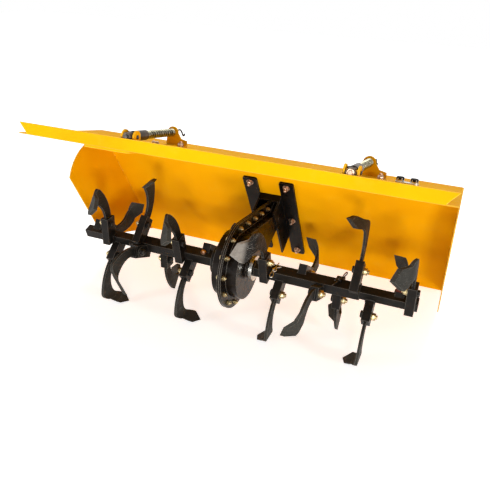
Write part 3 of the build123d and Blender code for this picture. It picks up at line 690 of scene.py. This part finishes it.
def holder_weld(direction):
    """The part of the square tube's outline that a blade holder covers, seen along the rotor: points along
    the square's four sides, turned to the holder's own axes and kept where they lie inside its outline."""
    t = np.linspace(0, 4, 241)[:-1]
    edge, s = t.astype(int), (t % 1 - 0.5) * TUBE_SIDE
    half = np.full_like(s, TUBE_SIDE / 2)
    y = np.choose(edge, [s, half, -s, -half])
    z = np.choose(edge, [-half, s, half, -s])
    a = np.radians(direction - TUBE_TURN)
    y, z = y * np.cos(a) - z * np.sin(a), y * np.sin(a) + z * np.cos(a)
    inside = (np.abs(y + SHANK_OFFSET) < SOCKET_DEEP / 2 + 0.5) & (z > SOCKET_START) & (z < SOCKET_END)
    first = int(np.argmax(inside & ~np.roll(inside, 1)))
    order = (first + np.arange(int(inside.sum()))) % len(y)
    return np.stack([0 * order, y[order], z[order]], -1)


welds = []
for name, share, direction in BLADES:
    for side in (-1, 1):
        place = on_rotor(BLADE_X[name] + side * SOCKET_WIDE / 2, direction)
        welds.append(placed(bead(holder_weld(direction)), place))
piece("holder_welds", welds, "rotor", black, smooth=60)

# stitches in the inside corner between the hood's sheet and each end plate, under the top and down the panel
STITCH, STITCH_STEP, STITCH_POINTS = 36.0, 85.0, 24
RUNS = [(30, 380, -SHEET, on_top), (-110, 400, 0.0, on_panel)]      # first, last, height and wall
welds = []
for side in (-1, 1):
    for first, last, height, wall in RUNS:
        for start in np.arange(first, last, STITCH_STEP):
            along = np.linspace(start, start + STITCH, STITCH_POINTS)
            path = np.stack([0 * along + side * (HOOD_HALF - SHEET), along, 0 * along + height], -1)
            welds.append(placed(bead(path, (0, 0, 1)), wall(0, 0, 0)))
piece("hood_seam_welds", welds, "hood", yellow, smooth=60)


# ---- floor, light and camera -------------------------------------------------------------------------
def white_for(tree):
    """1 for camera, glossy and transmission rays, and 0 for the rays that light the object."""
    rays = add(tree, "LightPath").outputs
    either = {"operation": "MAXIMUM"}
    seen = add(tree, "Math", either, in0=rays["Is Camera Ray"], in1=rays["Is Transmission Ray"])
    return add(tree, "Math", either, in0=seen, in1=rays["Is Glossy Ray"])


bpy.ops.mesh.primitive_plane_add(size=14, location=(0, 0, 0))
floor = bpy.context.object
floor.name = "studio_floor"
# matt white paint, too rough to mirror anything
material, tree, shader, where = fresh("matt_white_floor", rough=0.9)
smudge = add(tree, "TexNoise", {"Scale": per_metre(1250), "Detail": 2, "Roughness": 0.55}, Vector=where)
tone = add(tree, "ValToRGB", {"stops": [(0.3, linear("#f4f4f3")), (0.7, linear("#f7f7f6"))]}, Fac=smudge)
feed(tree, shader, Base_Color=tone)
# seen by the camera, and in metal, the floor fades into the white background and keeps the nearest shadows
away = add(tree, "VectorMath", {"operation": "LENGTH"}, in0=where).outputs["Value"]
lift = add(tree, "MapRange", {"From Min": 0.5, "From Max": 3.5, "To Min": 0.6, "To Max": 1.0}, Value=away)
lit = add(tree, "Math", {"operation": "MULTIPLY"}, in0=lift, in1=white_for(tree))
glow = add(tree, "Emission", {"Color": (1, 1, 1, 1)}, Strength=lit)
feed(tree, tree.nodes["Material Output"], Surface=add(tree, "AddShader", in0=shader, in1=glow))
floor.data.materials.append(material)


def lamp(name, place, target, wide, tall, power):
    """A rectangular soft box that faces the target."""
    light = bpy.data.lights.new(name, "AREA")
    light.shape = "RECTANGLE"
    light.size = wide
    light.size_y = tall
    light.energy = power
    obj = bpy.data.objects.new(name, light)
    z = np.array(place, float) - np.array(target, float)
    z /= np.linalg.norm(z)
    x = np.cross((0, 0, 1), z)
    x /= np.linalg.norm(x)
    m = np.eye(4)
    m[:3, :3] = np.stack([x, np.cross(z, x), z], 1)
    m[:3, 3] = place
    obj.matrix_world = Matrix(m.tolist())
    bpy.context.scene.collection.objects.link(obj)


# name, place, target, width, height, power in watts
lamp("soft_box_key", (1.9, -5.2, 0.9), (0.1, 0, 0.3), 0.8, 0.8, 132)
lamp("soft_box_low", (0.2, -4.6, 0.25), (0, 0, 0.3), 2.4, 0.4, 56)
lamp("soft_box_left", (-2.6, -2.6, 0.7), (-0.1, 0, 0.3), 0.5, 0.5, 40)
lamp("soft_box_right", (3.2, -1.4, 1.0), (0, 0, 0.3), 0.5, 0.5, 36)
lamp("soft_box_top", (0.0, 0.9, 3.2), (0, 0, 0.3), 2.2, 2.2, 56)

world = bpy.data.worlds.new("white_studio")
bpy.context.scene.world = world
world.use_nodes = True
tree = world.node_tree
tree.nodes.clear()
ambient = add(tree, "Background", {"Color": (1, 1, 1, 1), "Strength": 0.3})
shown = add(tree, "Background", {"Color": (1, 1, 1, 1), "Strength": 1.0})
both = add(tree, "MixShader", in0=white_for(tree), in1=ambient, in2=shown)
add(tree, "OutputWorld", Surface=both)

# the eye's place and its axes, both in the machine's own frame
EYE = (598.4, -1597.8, 587.5)
RIGHTWARD = np.array([0.92538, 0.36513, 0.10170])
DOWNWARD = np.array([0.19360, -0.22466, -0.95501])
FORWARD = np.array([-0.32586, 0.90344, -0.27859])
camera = bpy.data.cameras.new("view")
camera.sensor_width = 36.0
camera.lens = 42.86
camera.shift_x = -0.0039
camera.shift_y = -0.0182
eye = bpy.data.objects.new("view", camera)
m = MACHINE @ shift(*EYE)
m[:3, 3] /= 1000
m[:3, :3] = MACHINE[:3, :3] @ np.stack([RIGHTWARD, -DOWNWARD, -FORWARD], 1)
eye.matrix_world = Matrix(m.tolist())
bpy.context.scene.collection.objects.link(eye)
bpy.context.scene.camera = eye
bpy.context.scene.view_settings.view_transform = "Standard"
